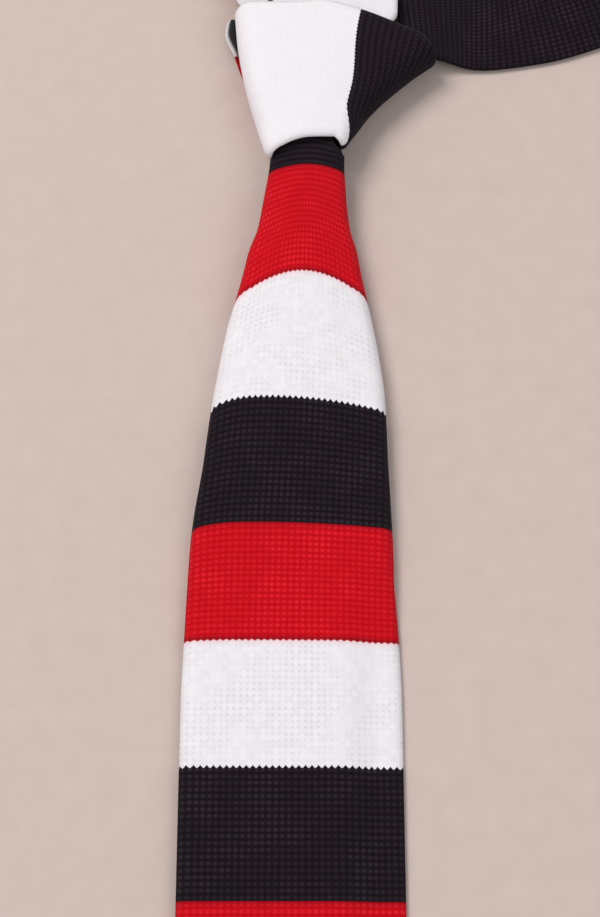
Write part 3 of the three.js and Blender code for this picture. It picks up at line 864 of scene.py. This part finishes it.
def knit_material(name, teeth=1.0, clarity=1.0):
    """Matte yarn in stitches; the courses give the stripes, which change with small teeth.

    teeth scales the teeth, and clarity how much one stitch stands out from the next.
    """
    g = Graph(name)
    place = g.node("ShaderNodeUVMap", uv_map="stitches").outputs[0]
    wale, course = g.node("ShaderNodeSeparateXYZ", {0: place}).outputs[:2]
    in_wale, in_course = (g.math("FRACT", number) for number in (wale, course))
    over_wale, over_course = (
        g.math("SINE", g.math("MULTIPLY", inside, math.pi)) for inside in (in_wale, in_course)
    )
    spot = g.node("ShaderNodeTexCoord").outputs["Object"]
    phase, is_white, is_black = stripes(g, in_wale, course, teeth)
    # Painted shade darkens the grooves between stitches and the holes in the white
    backs_out_of_shade, hole_shade = groove_and_hole_shade(g, over_wale, over_course, spot, clarity)
    colour = g.mix(is_white, red_yarn(g, phase, backs_out_of_shade), white_yarn(g, phase, hole_shade))
    colour = g.mix(is_black, colour, g.mix(backs_out_of_shade, *BLACK_SHADE_AND_BACK))
    colour = g.mix(1.0, colour, shading(g, wale, course, clarity), "MULTIPLY")
    backs = g.math("MULTIPLY", over_wale, over_course)
    g.link(colour, "Base Color")
    g.link(yarn_relief(g, in_wale, in_course, spot), "Normal")
    g.link(g.math("MULTIPLY_ADD", backs, BACK_SHINE, YARN_ROUGHNESS), "Roughness")
    g.values(Specular_IOR_Level=0.08, Sheen_Weight=0.03, Sheen_Roughness=0.5)
    return g.material


def dress(piece, material, node):
    piece.data.materials.append(material)
    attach(piece, "root")
    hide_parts(node)
    return piece


def tie():
    """All six pieces; the knot's front has tighter cloth, whose stitches show less."""
    striped = knit_material("striped_knit")
    tight = knit_material("striped_knit_tight", teeth=0.25, clarity=0.3)
    plain = knit_material("plain_knit")
    face = dress(blade(), striped, "front_blade")
    fold = dress(top_fold(), striped, "front_blade")
    wrap = dress(knot_wrap(), tight, "knot_wrap")
    first = dress(under_wrap(), striped, "under_wrap")
    narrow = dress(tail(), striped, "tail")
    neck = dress(neck_loop(), plain, "neck_loop")
    return face, fold, wrap, first, narrow, neck


PIECES = tie()

# From here on places are in metres. The camera looks down at the tie from its lower end
CAMERA_TILT = 70
CAMERA_AIM = Vector((0, -0.117, 0))
CAMERA_AWAY = 0.4825
CAMERA_LENS = 67.4
SENSOR_WIDTH = 36
NEAREST = 0.01

FLOOR_TONES = (0.53, 0.43, 0.39, 1), (0.585, 0.48, 0.445, 1)
FLOOR_GRAIN = 900.0
FLOOR_HALF_SIZE = 3

SKY_STRENGTH = 0.45
LIGHT_AIM = Vector((0, -0.1, 0))


def camera():
    tilt = math.radians(CAMERA_TILT)
    data = bpy.data.cameras.new("camera")
    data.lens = CAMERA_LENS
    data.sensor_width = SENSOR_WIDTH
    data.clip_start = NEAREST
    made = bpy.data.objects.new("camera", data)
    made.location = CAMERA_AIM + CAMERA_AWAY * Vector((0, -math.cos(tilt), math.sin(tilt)))
    made.rotation_euler = (math.pi / 2 - tilt, 0, 0)
    bpy.context.scene.collection.objects.link(made)
    bpy.context.scene.camera = made


def floor():
    g = Graph("floor")
    grain = g.node("ShaderNodeTexNoise", {"Scale": FLOOR_GRAIN, "Detail": 2.0})
    g.link(g.mix(grain.outputs[0], *FLOOR_TONES), "Base Color")
    g.values(Roughness=0.95)
    around = (-1, -1), (1, -1), (1, 1), (-1, 1)
    corners = [(x * FLOOR_HALF_SIZE, y * FLOOR_HALF_SIZE, 0) for x, y in around]
    mesh = bpy.data.meshes.new("floor")
    mesh.from_pydata(corners, [], [(0, 1, 2, 3)])
    mesh.materials.append(g.material)
    made = bpy.data.objects.new("floor", mesh)
    bpy.context.scene.collection.objects.link(made)


def area_light(name, place, size, power, colour):
    """A round soft light that points at the tie."""
    data = bpy.data.lights.new(name, "AREA")
    data.shape = "DISK"
    data.size = size
    data.energy = power
    data.color = colour
    made = bpy.data.objects.new(name, data)
    made.location = place
    made.rotation_euler = (LIGHT_AIM - Vector(place)).to_track_quat("-Z", "Y").to_euler()
    bpy.context.scene.collection.objects.link(made)


def studio():
    scene = bpy.context.scene
    scene.view_settings.view_transform = "Standard"
    world = bpy.data.worlds.new("studio")
    world.use_nodes = True
    sky = world.node_tree.nodes["Background"].inputs
    sky["Color"].default_value = (1, 1, 1, 1)
    sky["Strength"].default_value = SKY_STRENGTH
    scene.world = world
    area_light("key", (-0.8, 0.5, 1.5), size=0.9, power=22, colour=(1, 0.98, 0.96))
    area_light("fill", (0.9, -0.9, 1.2), size=1.2, power=7, colour=(0.96, 0.98, 1))


camera()
floor()
studio()
